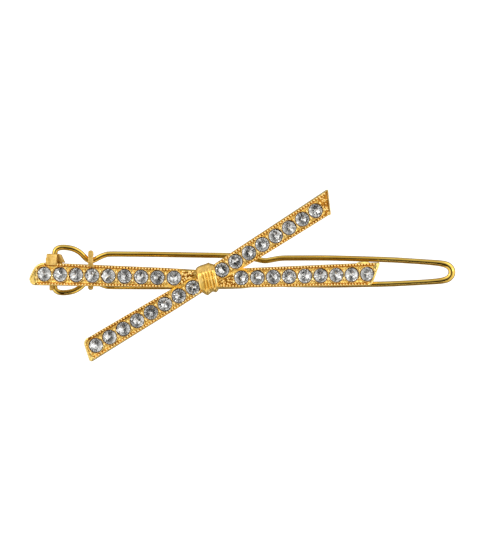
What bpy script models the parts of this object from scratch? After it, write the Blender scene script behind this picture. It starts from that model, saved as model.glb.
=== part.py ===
"""Bow-shaped rhinestone hair clip: an arched ornament with a sprung wire pin hinged under it.

Metres, +Z up out of the ornament's front, +X along the pin from its hinge to its tip.
The origin is the centre of the flat back of the knot wrap.
"""
import math

import bmesh
import bpy
from mathutils import Matrix, Vector

MM = 0.001

# Rhinestones
STONE_RADIUS = 1.24 * MM
STONE_TABLE_RADIUS = 0.74 * MM
STONE_CROWN = 0.42 * MM
STONE_GIRDLE = 0.12 * MM
STONE_PAVILION = 0.72 * MM
STONE_SIDES = 12
SEAT_RADIUS = 1.27 * MM
SEAT_DEPTH = 0.95 * MM
SEAT_SIDES = 16
GIRDLE_BELOW_TOP = 0.10 * MM

# Ribbon bars, all bent over one cylinder that runs along Y, whose radius is taken at the stones
ARCH_RADIUS = 100.0 * MM
RIBBON_UNDERSIDE = 0.50 * MM
RIBBON_THICKNESS = 1.50 * MM
KNOT_WAIST_WIDTH = 1.55 * MM
SHOULDER_WIDTH = 1.78 * MM
END_WIDTH = 2.08 * MM
SHOULDER_ALONG = 7.4 * MM
END_ALONG = 31.0 * MM
NECK_STEPS = 3
SOLDER_GAP = 0.03 * MM
UNDERSIDE_RADIUS = ARCH_RADIUS - RIBBON_THICKNESS + GIRDLE_BELOW_TOP

# Knot wrap, nearly square to the mean direction of the two bars
KNOT_ANGLE = math.radians(12.5)
KNOT_HALF_LENGTH = 1.65 * MM
KNOT_HALF_WIDTH = 2.95 * MM
KNOT_HEIGHT = 2.95 * MM
KNOT_SIDE_WALL = 0.60 * MM
KNOT_BACK_WALL = 0.45 * MM
KNOT_CORNER = 0.70 * MM

# Sprung wire pin
WIRE_RADIUS = 0.50 * MM
PIN_AXIS_Y = 1.47 * MM
PIVOT_X = -27.55 * MM
PIVOT_Z = -4.70 * MM
PIN_LENGTH = 71.73 * MM
PIN_TIP_DROP = 0.70 * MM
PIN_ARCH = 0.25 * MM
BUTT_GAP = 0.04 * MM

# Hinge bracket
BORE_RADIUS = 0.62 * MM
KNUCKLE_RADIUS = 1.00 * MM
WEB_HALF_LENGTH = 0.90 * MM
KNUCKLE_INNER = 0.90 * MM
KNUCKLE_OUTER = 2.75 * MM
PLATE_THICKNESS = 0.40 * MM
# The plate and its two wings: the low and high corners along the clip and across it, from the pivot.
PLATE = ((-1.40 * MM, -2.80 * MM), (1.70 * MM, 2.20 * MM))
UPPER_WING = ((-1.45 * MM, 0.0), (0.50 * MM, 2.95 * MM))
LOWER_WING = ((-0.67 * MM, -3.70 * MM), (0.05 * MM, 0.0))
WING_STEP = 0.03 * MM
# The upper wing is folded up past the ribbon's edge and hooks over it.
HOOK_LOW_X, HOOK_HIGH_X = -0.70 * MM, 1.25 * MM
HOOK_INNER_Y = 0.85 * MM
HOOK_WALL = 0.40 * MM
HOOK_SHEET = 0.27 * MM

# Catch bar
CATCH_FROM_PIVOT = 6.50 * MM
CATCH_HALF_WIDTH = 0.48 * MM
POST_INNER = 2.29 * MM
POST_OUTER = 3.58 * MM
CATCH_BEAM = 0.80 * MM
POST_BELOW_WIRE = 0.35 * MM
# A strap from the upper post over the ribbon's edge.
STRAP_INNER_Y = 0.60 * MM
STRAP_SHEET = 0.30 * MM

# Each arm: its direction, its first stone's distance from the knot, the stones' pitch and number,
# and the two corners of its slanted end as (along, across, corner radius).
ARMS = {
    "long_left": {
        "angle": math.radians(178.6), "first": 6.04 * MM, "pitch": 2.977 * MM, "count": 9,
        "tip": [(31.5 * MM, -2.05 * MM, 2.4 * MM), (33.2 * MM, 2.0 * MM, 1.00 * MM)],
    },
    "long_right": {
        "angle": math.radians(2.0), "first": 6.12 * MM, "pitch": 2.883 * MM, "count": 9,
        "tip": [(30.1 * MM, -2.0 * MM, 1.3 * MM), (31.65 * MM, 2.05 * MM, 0.1 * MM)],
    },
    "cross_left": {
        "angle": math.radians(210.9), "first": 3.07 * MM, "pitch": 2.918 * MM, "count": 8,
        "tip": [(25.15 * MM, -2.0 * MM, 1.1 * MM), (25.95 * MM, 2.08 * MM, 0.30 * MM)],
    },
    "cross_right": {
        "angle": math.radians(32.4), "first": 3.09 * MM, "pitch": 2.860 * MM, "count": 8,
        "tip": [(25.15 * MM, -2.1 * MM, 0.4 * MM), (27.10 * MM, 2.1 * MM, 0.1 * MM)],
    },
}

# Half of the pin in plan: distance from the pivot, distance from the pin's axis.
LEG_ROUTE = [
    (0.0, 1.15), (0.0, 2.0), (0.0, 3.0), (0.13, 3.55), (0.55, 3.92), (1.2, 4.07), (1.9, 4.07),
    (2.8, 3.95), (3.7, 3.66), (4.6, 3.12), (5.25, 2.48), (5.75, 1.98), (6.15, 1.75), (6.5, 1.68),
    (6.9, 1.76), (7.3, 1.95), (7.7, 2.16), (8.3, 2.48), (9.1, 2.78), (10.0, 2.92), (13.5, 2.93),
    (17.2, 2.92), (22.0, 2.87), (26.5, 2.82), (31.6, 2.75), (34.6, 2.58), (36.4, 2.14), (37.9, 1.88),
    (39.3, 2.10), (40.9, 2.35), (44.2, 2.41), (49.6, 2.43), (55.0, 2.32), (60.5, 2.17), (65.7, 1.89),
]
BEND_ROUTE = [
    (65.7, 1.89), (68.0, 1.73), (69.6, 1.58), (70.7, 1.33), (71.3, 0.97), (71.65, 0.48), (71.73, 0.0),
]


def clear_scene():
    for obj in list(bpy.data.objects):
        bpy.data.objects.remove(obj, do_unlink=True)


def new_collection(name):
    collection = bpy.data.collections.new(name)
    bpy.context.scene.collection.children.link(collection)
    return collection


def new_material(name, color, roughness, metallic):
    material = bpy.data.materials.new(name)
    material.use_nodes = True
    shader = material.node_tree.nodes["Principled BSDF"]
    shader.inputs["Base Color"].default_value = (*color, 1.0)
    shader.inputs["Roughness"].default_value = roughness
    shader.inputs["Metallic"].default_value = metallic
    return material


def new_object(name, mesh, collection, material=None):
    obj = bpy.data.objects.new(name, mesh)
    collection.objects.link(obj)
    if material:
        mesh.materials.append(material)
    return obj


def mesh_from(bm, name):
    bmesh.ops.recalc_face_normals(bm, faces=bm.faces)
    mesh = bpy.data.meshes.new(name)
    bm.to_mesh(mesh)
    bm.free()
    return mesh


def as_helper(obj):
    obj.hide_render = True
    obj.display_type = "WIRE"


def boolean(obj, other, operation):
    modifier = obj.modifiers.new(operation.lower(), "BOOLEAN")
    modifier.operation = operation
    modifier.object = other
    modifier.solver = "EXACT"


def arch_matrix(x, y):
    """A frame on the ribbons' underside, with its Z square to the arched surface.

    x is the arc length at the stones' girdles, which are above the underside.
    """
    turn = x / ARCH_RADIUS
    place = Vector((
        UNDERSIDE_RADIUS * math.sin(turn), y,
        RIBBON_UNDERSIDE + UNDERSIDE_RADIUS * (math.cos(turn) - 1.0),
    ))
    return Matrix.Translation(place) @ Matrix.Rotation(turn, 4, "Y")


def along_arm(arm, along, across):
    """The flat (x, y) of a point given along and across an arm."""
    cos, sin = math.cos(arm["angle"]), math.sin(arm["angle"])
    return along * cos - across * sin, along * sin + across * cos


def half_width(along):
    """A ribbon widens quickly from its waist in the knot, and then slowly to its end."""
    if along < SHOULDER_ALONG:
        return KNOT_WAIST_WIDTH + (SHOULDER_WIDTH - KNOT_WAIST_WIDTH) * along / SHOULDER_ALONG
    share = (along - SHOULDER_ALONG) / (END_ALONG - SHOULDER_ALONG)
    return SHOULDER_WIDTH + (END_WIDTH - SHOULDER_WIDTH) * share


def fillet(before, corner, after, radius, steps=4):
    """Points on a round corner of a flat outline."""
    a, c, b = Vector(before), Vector(corner), Vector(after)
    to_a, to_b = (a - c).normalized(), (b - c).normalized()
    half = to_a.angle(to_b) / 2.0
    centre = c + (to_a + to_b).normalized() * (radius / math.sin(half))
    start, end = c + to_a * (radius / math.tan(half)), c + to_b * (radius / math.tan(half))
    points = []
    for i in range(steps + 1):
        chord = start.lerp(end, i / steps) - centre
        points.append(centre + chord.normalized() * radius)
    return points


def arm_stations(arm):
    """Where an arm is creased to follow the arch: up to its shoulder, then between its stones."""
    neck = [SHOULDER_ALONG * i / NECK_STEPS for i in range(1, NECK_STEPS + 1)]
    cells = [arm["first"] + (i - 0.5) * arm["pitch"] for i in range(arm["count"])]
    return neck + [s for s in cells if s > SHOULDER_ALONG + STONE_RADIUS]


def tip_outline(arm):
    """The rounded end of an arm, from its lower rail to its upper rail."""
    last = arm_stations(arm)[-1]
    (low_x, low_y, low_r), (up_x, up_y, up_r) = arm["tip"]
    low, up = (low_x, low_y), (up_x, up_y)
    low_start, up_start = (last, -half_width(last)), (last, half_width(last))
    return fillet(low_start, low, up, low_r) + fillet(low, up, up_start, up_r)


def bar_solid(name, rails, ends):
    """A flat-sided bar: quads between rails of (lower, upper) points, closed by each tip's outline."""
    bm = bmesh.new()
    made = {}

    def vert(point):
        key = (round(point[0], 9), round(point[1], 9))
        if key not in made:
            made[key] = bm.verts.new((point[0], point[1], 0.0))
        return made[key]

    for first, second in zip(rails, rails[1:]):
        bm.faces.new([vert(p) for p in (first[0], second[0], second[1], first[1])])
    for end in ends:
        bm.faces.new([vert(p) for p in end])
    top = bmesh.ops.extrude_face_region(bm, geom=bm.faces[:])
    lifted = [v for v in top["geom"] if isinstance(v, bmesh.types.BMVert)]
    bmesh.ops.translate(bm, verts=lifted, vec=(0.0, 0.0, RIBBON_THICKNESS))
    bmesh.ops.recalc_face_normals(bm, faces=bm.faces)
    bm.normal_update()
    return bm


def arm_rails(arm):
    """Pairs of flat points on the two edges of an arm, from the knot's centre outwards."""
    stations = [0.0] + arm_stations(arm)
    return [
        (along_arm(arm, s, -half_width(s)), along_arm(arm, s, half_width(s))) for s in stations
    ]


def end_face(arm, rail):
    return [rail[0]] + [along_arm(arm, p.x, p.y) for p in tip_outline(arm)] + [rail[1]]


def bend(bm):
    """Rolls the flat bar over the arch's cylinder."""
    for vert in bm.verts:
        vert.co = arch_matrix(vert.co.x, vert.co.y) @ Vector((0.0, 0.0, vert.co.z))


def tail_bar(arm, neighbour, side):
    """A long arm, cut off along the flank of the cross ribbon's nearer arm."""
    rails = arm_rails(arm)
    bm = bar_solid("tail", rails, [end_face(arm, rails[-1])])
    flank = along_arm(neighbour, 0.0, side * (KNOT_WAIST_WIDTH + SOLDER_GAP))
    # The cross ribbon widens from its waist, so its flank leans out.
    lean = neighbour["angle"] + side * math.atan(
        (SHOULDER_WIDTH - KNOT_WAIST_WIDTH) / SHOULDER_ALONG)
    outward = Vector((-math.sin(lean), math.cos(lean), 0.0)) * side
    cut = bmesh.ops.bisect_plane(
        bm, geom=bm.verts[:] + bm.edges[:] + bm.faces[:], dist=1e-7,
        plane_co=(*flank, 0.0), plane_no=outward, clear_inner=True,
    )
    edges = [e for e in cut["geom_cut"] if isinstance(e, bmesh.types.BMEdge)]
    bmesh.ops.edgenet_fill(bm, edges=edges)
    bend(bm)
    return bm


def cross_bar(left, right):
    """The cross ribbon: both its arms, joined straight across under the knot."""
    rails_right, rails_left = arm_rails(right), arm_rails(left)
    rails = rails_right[::-1] + [(upper, lower) for lower, upper in rails_left[1:]]
    ends = [end_face(right, rails_right[-1]), end_face(left, rails_left[-1])]
    bm = bar_solid("cross", rails, ends)
    bend(bm)
    return bm


def stone_places(arm):
    """Frames at the girdle centres of an arm's stones."""
    lift = Matrix.Translation((0.0, 0.0, RIBBON_THICKNESS - GIRDLE_BELOW_TOP))
    places = []
    for i in range(arm["count"]):
        flat = along_arm(arm, arm["first"] + i * arm["pitch"], 0.0)
        places.append(arch_matrix(*flat) @ lift)
    return places


def seat_cutter(name, arms, helpers):
    """Blind round seats for all the stones of the given arms, as one cutter."""
    bm = bmesh.new()
    height = SEAT_DEPTH + RIBBON_THICKNESS
    for arm in arms:
        for place in stone_places(arm):
            centre = Matrix.Translation((0.0, 0.0, GIRDLE_BELOW_TOP - SEAT_DEPTH + height / 2.0))
            bmesh.ops.create_cone(
                bm, cap_ends=True, segments=SEAT_SIDES, radius1=SEAT_RADIUS, radius2=SEAT_RADIUS,
                depth=height, matrix=place @ centre,
            )
    cutter = new_object(name, mesh_from(bm, name), helpers)
    as_helper(cutter)
    return cutter


def build_ribbons(parts, helpers, gold):
    arms = ARMS
    bars = {
        "ribbon_tail_left": (tail_bar(arms["long_left"], arms["cross_left"], -1), ["long_left"]),
        "ribbon_tail_right": (tail_bar(arms["long_right"], arms["cross_right"], -1), ["long_right"]),
        "cross_ribbon": (
            cross_bar(arms["cross_left"], arms["cross_right"]), ["cross_left", "cross_right"],
        ),
    }
    for name, (bm, stone_arms) in bars.items():
        bar = new_object(name, mesh_from(bm, name), parts, gold)
        boolean(bar, seat_cutter(name + "_seats", [arms[a] for a in stone_arms], helpers), "DIFFERENCE")


def stone_mesh():
    """One faceted chaton, turned from its half profile, with its girdle's middle at the origin."""
    half_girdle = STONE_GIRDLE / 2.0
    profile = [
        (0.0, half_girdle + STONE_CROWN),
        (STONE_TABLE_RADIUS, half_girdle + STONE_CROWN),
        (STONE_RADIUS, half_girdle),
        (STONE_RADIUS, -half_girdle),
        (0.0, -half_girdle - STONE_PAVILION),
    ]
    mesh = bpy.data.meshes.new("rhinestone")
    edges = [(i, i + 1) for i in range(len(profile) - 1)]
    mesh.from_pydata([(x, 0.0, z) for x, z in profile], edges, [])
    return mesh


def build_stones(parts, crystal):
    mesh = stone_mesh()
    mesh.materials.append(crystal)
    for arm_name, arm in ARMS.items():
        for number, place in enumerate(stone_places(arm), start=1):
            stone = bpy.data.objects.new(f"rhinestone_{arm_name}_{number}", mesh)
            parts.objects.link(stone)
            stone.matrix_world = place
            turn = stone.modifiers.new("turn", "SCREW")
            turn.steps = turn.render_steps = STONE_SIDES
            turn.use_merge_vertices = True
            turn.merge_threshold = 0.00001
            turn.use_smooth_shade = False


def flat_curve(name, outlines, half_thickness, collection):
    """A filled flat outline, with holes, as a curve."""
    curve = bpy.data.curves.new(name, "CURVE")
    curve.dimensions = "2D"
    curve.fill_mode = "BOTH"
    curve.extrude = half_thickness
    for outline in outlines:
        spline = curve.splines.new("POLY")
        spline.points.add(len(outline) - 1)
        for point, (x, y) in zip(spline.points, outline):
            point.co = (x, y, 0.0, 1.0)
        spline.use_cyclic_u = True
    obj = bpy.data.objects.new(name, curve)
    collection.objects.link(obj)
    return obj


def to_mesh(curve_object, material=None):
    """Swaps a curve object for its welded mesh, in the same place."""
    bpy.context.view_layer.update()
    graph = bpy.context.evaluated_depsgraph_get()
    mesh = bpy.data.meshes.new_from_object(curve_object.evaluated_get(graph))
    bm = bmesh.new()
    bm.from_mesh(mesh)
    bmesh.ops.remove_doubles(bm, verts=bm.verts, dist=1e-6)
    bmesh.ops.recalc_face_normals(bm, faces=bm.faces)
    bm.to_mesh(mesh)
    bm.free()
    name, place = curve_object.name, curve_object.matrix_world.copy()
    collection = curve_object.users_collection[0]
    bpy.data.objects.remove(curve_object, do_unlink=True)
    obj = new_object(name, mesh, collection, material)
    obj.matrix_world = place
    return obj


def rounded_box_outline(half_width, low, high, radius):
    corners = [(-half_width, low), (half_width, low), (half_width, high), (-half_width, high)]
    points = []
    for i, corner in enumerate(corners):
        before, after = corners[i - 1], corners[(i + 1) % 4]
        points += [(p.x, p.y) for p in fillet(before, corner, after, radius, steps=3)]
    return points


def build_knot(parts, gold):
    """The band wrapped round the crossing: a rounded rectangular sleeve."""
    outer = rounded_box_outline(KNOT_HALF_WIDTH, 0.0, KNOT_HEIGHT, KNOT_CORNER)
    inner_half = KNOT_HALF_WIDTH - KNOT_SIDE_WALL
    inner_top = RIBBON_UNDERSIDE + RIBBON_THICKNESS + SOLDER_GAP
    inner = [
        (-inner_half, KNOT_BACK_WALL), (inner_half, KNOT_BACK_WALL),
        (inner_half, inner_top), (-inner_half, inner_top),
    ]
    knot = flat_curve("knot_wrap", [outer, inner], KNOT_HALF_LENGTH, parts)
    # The outline's X becomes the band's width and its Y becomes height.
    stand_up = Matrix.Rotation(math.pi / 2.0, 4, "Z") @ Matrix.Rotation(math.pi / 2.0, 4, "X")
    knot.matrix_world = Matrix.Rotation(KNOT_ANGLE, 4, "Z") @ stand_up
    to_mesh(knot, gold)


def box(name, low, high, collection, place=Matrix.Identity(4), material=None):
    """A box between two corners, given in the frame of place."""
    low, high = Vector(low), Vector(high)
    bm = bmesh.new()
    bmesh.ops.create_cube(bm, size=1.0)
    bmesh.ops.scale(bm, vec=high - low, verts=bm.verts)
    bmesh.ops.translate(bm, vec=(low + high) / 2.0, verts=bm.verts)
    obj = new_object(name, mesh_from(bm, name), collection, material)
    obj.matrix_world = place
    return obj


def rod_along_y(name, radius, low_y, high_y, centre_z, collection, place, sides=20):
    bm = bmesh.new()
    bmesh.ops.create_cone(
        bm, cap_ends=True, segments=sides, radius1=radius, radius2=radius, depth=high_y - low_y,
        matrix=Matrix.Translation((0.0, (low_y + high_y) / 2.0, centre_z))
        @ Matrix.Rotation(math.pi / 2.0, 4, "X"),
    )
    obj = new_object(name, mesh_from(bm, name), collection)
    obj.matrix_world = place
    return obj


def build_hinge_bracket(parts, helpers, gold):
    """A plate under the left tail with a knuckle on each side that takes one end of the wire."""
    arc = ARCH_RADIUS * math.asin(PIVOT_X / UNDERSIDE_RADIUS)
    under = arch_matrix(arc, PIN_AXIS_Y)
    pivot = under.inverted() @ Vector((PIVOT_X, PIN_AXIS_Y, PIVOT_Z))
    # The plate's frame sits on the pivot's own normal, so its knuckles are centred under it.
    place = under @ Matrix.Translation((pivot.x, 0.0, 0.0))
    # The ribbon's underside is hollow, so the flat plate stands off by twice the solder gap.
    top, bottom = -2.0 * SOLDER_GAP, -2.0 * SOLDER_GAP - PLATE_THICKNESS
    hook_bottom = RIBBON_THICKNESS + SOLDER_GAP
    hook_top = hook_bottom + HOOK_SHEET
    bracket = box("hinge_bracket", (*PLATE[0], bottom), (*PLATE[1], top), parts, place, gold)
    joined = []
    for low, high in (UPPER_WING, LOWER_WING):
        joined.append(box(
            "bracket_wing", (*low, bottom + WING_STEP), (*high, top - WING_STEP), helpers, place,
        ))
    hook_outer_y = UPPER_WING[1][1]
    joined.append(box(
        "bracket_hook_wall", (HOOK_LOW_X, hook_outer_y - HOOK_WALL, bottom + WING_STEP),
        (HOOK_HIGH_X, hook_outer_y, hook_top), helpers, place,
    ))
    joined.append(box(
        "bracket_hook", (HOOK_LOW_X, HOOK_INNER_Y, hook_bottom), (HOOK_HIGH_X, hook_outer_y, hook_top),
        helpers, place,
    ))
    for side in (-1.0, 1.0):
        low, high = sorted((side * KNUCKLE_INNER, side * KNUCKLE_OUTER))
        web = box(
            "bracket_web", (-WEB_HALF_LENGTH, low, pivot.z),
            (WEB_HALF_LENGTH, high, (top + bottom) / 2.0), helpers, place,
        )
        knuckle = rod_along_y("bracket_knuckle", KNUCKLE_RADIUS, low, high, pivot.z, helpers, place)
        joined += [web, knuckle]
    for piece in joined:
        as_helper(piece)
        boolean(bracket, piece, "UNION")
    bore = rod_along_y(
        "bracket_bore", BORE_RADIUS, -2.0 * KNUCKLE_OUTER, 2.0 * KNUCKLE_OUTER, pivot.z, helpers,
        place,
    )
    as_helper(bore)
    boolean(bracket, bore, "DIFFERENCE")


def pin_height(from_pivot):
    share = from_pivot / PIN_LENGTH
    return PIVOT_Z - PIN_TIP_DROP * share + 4.0 * PIN_ARCH * share * (1.0 - share)


def build_catch(parts, helpers, gold):
    """A cross bar under the left tail, a post outside each leg's kink, and a strap over the ribbon."""
    x = PIVOT_X + CATCH_FROM_PIVOT
    outer_x = abs(x) + CATCH_HALF_WIDTH
    drop = UNDERSIDE_RADIUS - math.sqrt(UNDERSIDE_RADIUS**2 - outer_x**2)
    top = RIBBON_UNDERSIDE - drop - SOLDER_GAP
    bottom = pin_height(CATCH_FROM_PIVOT) - POST_BELOW_WIRE
    # The strap is level, so it clears the ribbon's face where that is highest, at the end near the knot.
    face_radius = UNDERSIDE_RADIUS + RIBBON_THICKNESS
    inner_x = abs(x) - CATCH_HALF_WIDTH
    face_drop = face_radius - math.sqrt(face_radius**2 - inner_x**2)
    strap_bottom = RIBBON_UNDERSIDE + RIBBON_THICKNESS - face_drop + SOLDER_GAP
    strap_top = strap_bottom + STRAP_SHEET
    inset = CATCH_HALF_WIDTH
    catch = box(
        "catch_bar",
        (x - CATCH_HALF_WIDTH + WING_STEP, PIN_AXIS_Y - POST_OUTER + inset, top - CATCH_BEAM),
        (x + CATCH_HALF_WIDTH - WING_STEP, PIN_AXIS_Y + POST_OUTER - inset, top - WING_STEP), parts,
        material=gold,
    )
    strap = box(
        "catch_strap", (x - CATCH_HALF_WIDTH + WING_STEP, PIN_AXIS_Y + STRAP_INNER_Y, strap_bottom),
        (x + CATCH_HALF_WIDTH - WING_STEP, PIN_AXIS_Y + POST_OUTER - inset, strap_top - WING_STEP),
        helpers,
    )
    as_helper(strap)
    boolean(catch, strap, "UNION")
    for side, post_top in ((-1.0, top), (1.0, strap_top)):
        outline = []
        for end, turn in ((POST_OUTER - inset, 0.0), (POST_INNER + inset, math.pi)):
            for i in range(7):
                angle = turn + math.pi * i / 6.0
                outline.append((
                    CATCH_HALF_WIDTH * math.cos(angle), end + CATCH_HALF_WIDTH * math.sin(angle),
                ))
        post = flat_curve("catch_post", [outline], (post_top - bottom) / 2.0, helpers)
        turn_side = 0.0 if side > 0 else math.pi
        centre = (x, PIN_AXIS_Y, (post_top + bottom) / 2.0)
        post.matrix_world = Matrix.Translation(centre) @ Matrix.Rotation(turn_side, 4, "Z")
        post = to_mesh(post)
        as_helper(post)
        boolean(catch, post, "UNION")


def smooth_route(points, spacing):
    """Points on a Catmull-Rom curve through a route, about one spacing apart."""
    ends = [points[0] * 2 - points[1]] + points + [points[-1] * 2 - points[-2]]
    route = [points[0]]
    for a, b, c, d in zip(ends, ends[1:], ends[2:], ends[3:]):
        steps = max(1, round((c - b).length / spacing))
        for i in range(1, steps + 1):
            t = i / steps
            route.append(0.5 * (
                2 * b + (c - a) * t + (2 * a - 5 * b + 4 * c - d) * t**2
                + (3 * b - a - 3 * c + d) * t**3
            ))
    return route


def wire(name, route, parts, gold):
    curve = bpy.data.curves.new(name, "CURVE")
    curve.dimensions = "3D"
    curve.bevel_depth = WIRE_RADIUS
    curve.bevel_resolution = 2
    curve.use_fill_caps = True
    spline = curve.splines.new("POLY")
    spline.points.add(len(route) - 1)
    for point, place in zip(spline.points, route):
        point.co = (*place, 1.0)
    obj = bpy.data.objects.new(name, curve)
    parts.objects.link(obj)
    to_mesh(obj, gold)


def plan_points(route, side):
    points = []
    for from_pivot, from_axis in route:
        u, v = from_pivot * MM, from_axis * MM
        points.append(Vector((PIVOT_X + u, PIN_AXIS_Y + side * v, pin_height(u))))
    return points


def build_pin(parts, gold):
    """The pin's one wire in three lengths: two legs that flex, and the bend at the tip that joins them."""
    for name, side in (("pin_leg_upper", 1.0), ("pin_leg_lower", -1.0)):
        wire(name, smooth_route(plan_points(LEG_ROUTE, side), 2.2 * WIRE_RADIUS), parts, gold)
    half = plan_points(BEND_ROUTE, 1.0)
    other = plan_points(BEND_ROUTE, -1.0)[-2::-1]
    route = smooth_route(half + other, WIRE_RADIUS)
    along = (route[1] - route[0]).normalized()
    route[0] = route[0] + along * BUTT_GAP
    route[-1] = route[-1] + (route[-2] - route[-1]).normalized() * BUTT_GAP
    wire("pin_tip_bend", route, parts, gold)


def main():
    clear_scene()
    parts = new_collection("rhinestone_hair_clip")
    helpers = new_collection("cutters_and_joins")
    cast_gold = new_material("cast_gold_plate", (0.80, 0.52, 0.16), 0.35, 1.0)
    wire_gold = new_material("polished_gold_wire", (0.83, 0.57, 0.20), 0.12, 1.0)
    crystal = new_material("foiled_crystal", (0.82, 0.84, 0.86), 0.05, 0.0)
    build_ribbons(parts, helpers, cast_gold)
    build_knot(parts, cast_gold)
    build_hinge_bracket(parts, helpers, cast_gold)
    build_catch(parts, helpers, cast_gold)
    build_pin(parts, wire_gold)
    build_stones(parts, crystal)


main()
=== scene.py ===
"""Bow-shaped rhinestone hair clip: the visual model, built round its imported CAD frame.

Metres, +Z out of the ornament's front. Every ribbon arm is modelled flat along +X, turned to its own
direction, and then bent over the same arch as the CAD bars.
"""

import math
import random

import bpy
import numpy as np
from mathutils import Matrix, Vector


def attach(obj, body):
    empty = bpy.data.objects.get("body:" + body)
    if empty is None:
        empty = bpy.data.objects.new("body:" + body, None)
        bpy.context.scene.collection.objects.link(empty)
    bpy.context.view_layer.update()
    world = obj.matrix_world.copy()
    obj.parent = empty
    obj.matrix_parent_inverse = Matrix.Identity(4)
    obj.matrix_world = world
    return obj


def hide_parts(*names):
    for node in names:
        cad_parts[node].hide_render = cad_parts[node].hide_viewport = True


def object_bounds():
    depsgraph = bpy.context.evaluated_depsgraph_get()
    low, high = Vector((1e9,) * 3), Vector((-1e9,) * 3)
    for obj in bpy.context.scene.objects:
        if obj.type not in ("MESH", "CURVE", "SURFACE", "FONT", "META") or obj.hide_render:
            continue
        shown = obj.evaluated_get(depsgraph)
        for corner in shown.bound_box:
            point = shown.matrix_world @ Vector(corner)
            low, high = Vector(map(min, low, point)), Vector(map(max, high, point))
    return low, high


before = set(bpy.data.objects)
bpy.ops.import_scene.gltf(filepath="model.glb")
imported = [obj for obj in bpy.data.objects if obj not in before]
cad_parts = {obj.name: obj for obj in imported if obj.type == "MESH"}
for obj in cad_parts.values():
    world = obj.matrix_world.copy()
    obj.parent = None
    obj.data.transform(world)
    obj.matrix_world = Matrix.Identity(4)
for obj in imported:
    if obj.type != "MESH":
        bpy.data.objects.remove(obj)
cad_low, cad_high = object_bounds()

MM = 0.001
random.seed(7)

# ---------------------------------------------------------------- sizes shared with the CAD
ARCH_RADIUS = 100.0 * MM
UNDERSIDE_RADIUS = 98.6 * MM
UNDERSIDE = 0.50 * MM
WAIST_WIDTH, SHOULDER_WIDTH, END_WIDTH = 1.55 * MM, 1.78 * MM, 2.08 * MM
SHOULDER_ALONG, END_ALONG = 7.4 * MM, 31.0 * MM
RIBBON_THICKNESS = 1.50 * MM
SOLDER_GAP = 0.03 * MM
PIN_AXIS_Y = 1.47 * MM
PIVOT_X, PIVOT_Z = -27.55 * MM, -4.70 * MM
PIN_LENGTH, PIN_TIP_DROP, PIN_ARCH = 71.73 * MM, 0.70 * MM, 0.25 * MM
WIRE_RADIUS = 0.50 * MM
KNOT_ANGLE = math.radians(12.5)
# The catch's place along the pin, half its width, and how far its posts reach below the wire, in mm.
CATCH_FROM_PIVOT, CATCH_HALF_WIDTH, POST_BELOW_WIRE = 6.50, 0.48, 0.35

# Each arm: its direction, its first stone and the stones' pitch and number, the corners of its slanted
# end as (along, across, corner radius), where the milgrain on its lower and upper edge begins, which arm
# it is soldered to, how thick its end rim is, how solid its tip is, and any patches strewn with granules,
# as (along range, across range, number) in mm.
ARMS = {
    "long_left": {
        "angle": math.radians(178.6), "first": 6.04 * MM, "pitch": 2.977 * MM, "count": 9,
        "tip": [(31.5 * MM, -2.05 * MM, 2.4 * MM), (33.2 * MM, 2.0 * MM, 1.00 * MM)],
        "milgrain": (5.6 * MM, 8.1 * MM), "meets": "cross_left", "rim": 0.26 * MM, "solid_tip": 1.0,
        "granules": [((2.6, 5.0), (-1.2, 0.6), 34)],
    },
    "long_right": {
        "angle": math.radians(2.0), "first": 6.12 * MM, "pitch": 2.883 * MM, "count": 9,
        "tip": [(30.1 * MM, -2.0 * MM, 1.3 * MM), (31.65 * MM, 2.05 * MM, 0.1 * MM)],
        "milgrain": (2.9 * MM, 8.1 * MM), "meets": "cross_right", "rim": 0.20 * MM, "solid_tip": 1.0,
        "granules": [((2.2, 5.0), (-1.2, 0.9), 40)],
    },
    "cross_left": {
        "angle": math.radians(210.9), "first": 3.07 * MM, "pitch": 2.918 * MM, "count": 8,
        "tip": [(25.15 * MM, -2.0 * MM, 1.1 * MM), (25.95 * MM, 2.08 * MM, 0.30 * MM)],
        "milgrain": (7.6 * MM, 2.6 * MM), "meets": None, "rim": 0.20 * MM, "solid_tip": 0.6, "granules": [],
    },
    "cross_right": {
        "angle": math.radians(32.4), "first": 3.09 * MM, "pitch": 2.860 * MM, "count": 8,
        "tip": [(25.15 * MM, -2.1 * MM, 0.4 * MM), (27.10 * MM, 2.1 * MM, 0.1 * MM)],
        "milgrain": (7.6 * MM, 2.6 * MM), "meets": None, "rim": 0.07 * MM, "solid_tip": 0.0,
        "granules": [((24.5, 27.0), (-2.0, 1.9), 60)],
    },
}

# ---------------------------------------------------------------- the casting's relief
TIP_HEIGHT = 1.40 * MM
GIRDLE_HEIGHT = 1.40 * MM
GRAIN_STEP = 0.16 * MM
GRAIN_HEIGHT = 0.05 * MM
BEAD_RADIUS, BEAD_PITCH, BEAD_INSET = 0.25 * MM, 0.56 * MM, 0.27 * MM
MILGRAIN_HEIGHT = 1.28 * MM
CLAW_RADIUS, CLAW_ACROSS, CLAW_HEIGHT = 0.22 * MM, 0.72 * MM, 1.47 * MM
CLAW_STRETCH = (0.85, 1.6, 1.0)
SEAT_RADIUS, SEAT_SIDES = 1.27 * MM, 28
SOLDER_OVERLAP = 0.05 * MM
# Within this share of the half width the floor is sunk, and the milgrain groove lies outside it.
FLOOR_SHARE, LIP_SHARE = 0.72, 0.95
RIM_TOP = 1.52 * MM
# How long the ramp from the sunk floor up to a solid tip is, and how the top rolls over at the very end.
TIP_RAMP, END_ROUNDING, END_DROP = 0.30 * MM, 0.18 * MM, 0.22 * MM
# Across a bar, from its edge to its middle: the share of its half width, and the height there.
RAIL_PROFILE = [
    (1.00, 1.02), (0.985, 1.20), (0.955, 1.27), (0.925, 1.22), (0.80, 1.20), (0.75, 1.16), (0.70, 1.12),
    (0.45, 1.12), (0.0, 1.12),
]


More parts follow.
